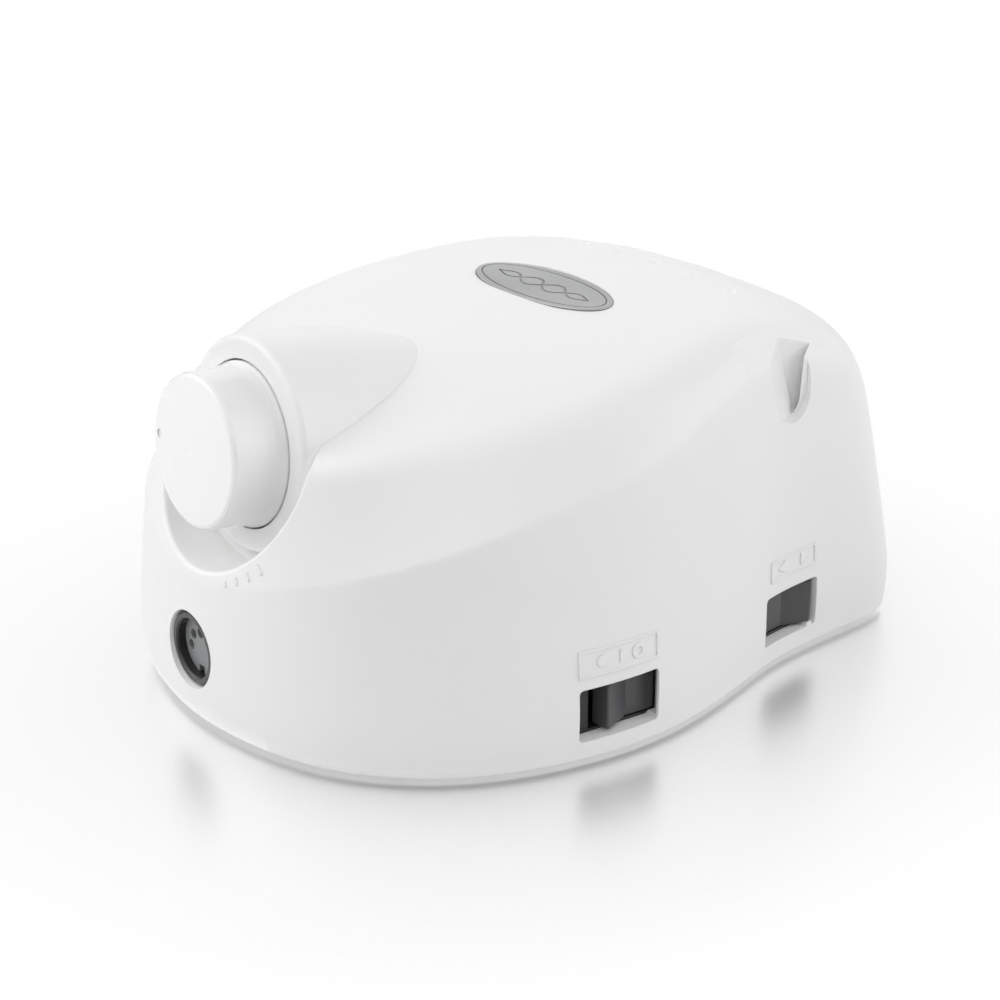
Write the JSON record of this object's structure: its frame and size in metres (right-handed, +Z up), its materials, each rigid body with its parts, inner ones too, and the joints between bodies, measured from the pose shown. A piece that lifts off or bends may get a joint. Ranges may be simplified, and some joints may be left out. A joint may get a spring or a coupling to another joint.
{
  "type": "nail drill control box",
  "caption": "Desktop control box of an electric nail drill: hooded white case, round speed knob on a barrel, handpiece socket, rocker switches and bur holes.",
  "frame": {"origin": "centre of the overall footprint, on the plane the rubber feet stand on", "axes": "+Z up; -Y towards the user, the way the speed knob and handpiece socket face; +X to the right seen from the front, the side with the two small rocker switches"},
  "size_m": [0.1241, 0.1568, 0.0775],
  "materials": {
    "badge_metal": "grey anodised, engraved",
    "base_plastic": "off-white ABS",
    "board_green": "solder mask",
    "bobbin_nylon": "natural nylon",
    "capacitor_sleeve": "shrink sleeve",
    "clear_glass": "clear",
    "component_black": "moulded epoxy",
    "core_steel": "varnished laminations",
    "foot_rubber": "black rubber",
    "header_nylon": "natural nylon",
    "insulator_grey": "grey phenolic",
    "knob_plastic": "glossy white plastic",
    "nickel": "nickel plated",
    "relay_blue": "moulded case",
    "resistor_body": "lacquered",
    "rocker_grey": "dark grey satin plastic",
    "screw_steel": "zinc plated",
    "shell_plastic": "satin off-white ABS",
    "sink_aluminium": "extruded",
    "socket_black": "black moulded nylon",
    "strap_steel": "zinc plated",
    "switch_black": "black moulded nylon",
    "tinned_brass": "tinned",
    "winding_tape": "yellow winding tape",
    "wire_black": "PVC insulation",
    "wire_blue": "PVC insulation",
    "wire_grey": "PVC insulation",
    "wire_red": "PVC insulation"
  },
  "bodies": {
    "box": {"badge_plate": "badge_metal", "base_plate": "base_plastic", "board_resistors": "resistor_body", "board_screws": "screw_steel", "bridge_rectifier": "component_black", "case_screws": "screw_steel", "control_board": "board_green", "control_chip": "component_black", "direction_switch_body": "switch_black", "direction_switch_terminals": "tinned_brass", "direction_switch_wires": "wire_blue", "filter_capacitors": "capacitor_sleeve", "fuse_caps": "nickel", "fuse_clips": "nickel", "fuse_glass": "clear_glass", "heat_sink": "sink_aluminium", "knob_wires": "wire_grey", "mains_inlet_body": "switch_black", "mains_inlet_pins": "nickel", "mains_wires": "wire_black", "mode_switch_body": "switch_black", "mode_switch_terminals": "tinned_brass", "mode_switch_wires": "wire_red", "motor_triac": "component_black", "pedal_jack_body": "socket_black", "pedal_jack_nut": "nickel", "pedal_jack_terminals": "tinned_brass", "pot_body": "strap_steel", "pot_bushing": "nickel", "pot_nut": "nickel", "pot_terminals": "tinned_brass", "pot_washer": "screw_steel", "power_switch_body": "switch_black", "power_switch_terminals": "tinned_brass", "primary_winding": "winding_tape", "rectifier_leads": "tinned_brass", "reversing_relay": "relay_blue", "rubber_feet": "foot_rubber", "secondary_winding": "winding_tape", "smoothing_capacitors": "capacitor_sleeve", "socket_contacts": "tinned_brass", "socket_housing": "socket_black", "socket_insulator": "insulator_grey", "socket_solder_tails": "tinned_brass", "socket_wires": "wire_black", "top_shell": "shell_plastic", "transformer_bobbin": "bobbin_nylon", "transformer_core": "core_steel", "transformer_screws": "screw_steel", "transformer_strap": "strap_steel", "wire_headers": "header_nylon", "wire_plugs": "header_nylon"},
    "knob": {"speed_knob": "knob_plastic", "knob_shaft": "nickel"},
    "mode_rocker": {"mode_rocker": "rocker_grey"},
    "direction_rocker": {"direction_rocker": "rocker_grey"},
    "power_rocker": {"power_rocker": "rocker_grey"}
  },
  "joints": [
    {"name": "knob_turn", "type": "hinge", "parent": "box", "child": "knob", "pos_m": [0, -0.06373, 0.0563], "axis": [0, -0.9959, 0.0906], "range_deg": [-240, 60]},
    {"name": "mode_rocker_tilt", "type": "hinge", "parent": "box", "child": "mode_rocker", "pos_m": [0.05473, -0.0157, 0.0107], "axis": [0, 0, 1], "range_deg": [-26, 0]},
    {"name": "direction_rocker_tilt", "type": "hinge", "parent": "box", "child": "direction_rocker", "pos_m": [0.04443, 0.03683, 0.0114], "axis": [0, 0, 1], "range_deg": [0, 26]},
    {"name": "power_rocker_tilt", "type": "hinge", "parent": "box", "child": "power_rocker", "pos_m": [-0.022, 0.07112, 0.023], "axis": [0, 0, 1], "range_deg": [-26, 0]}
  ]
}
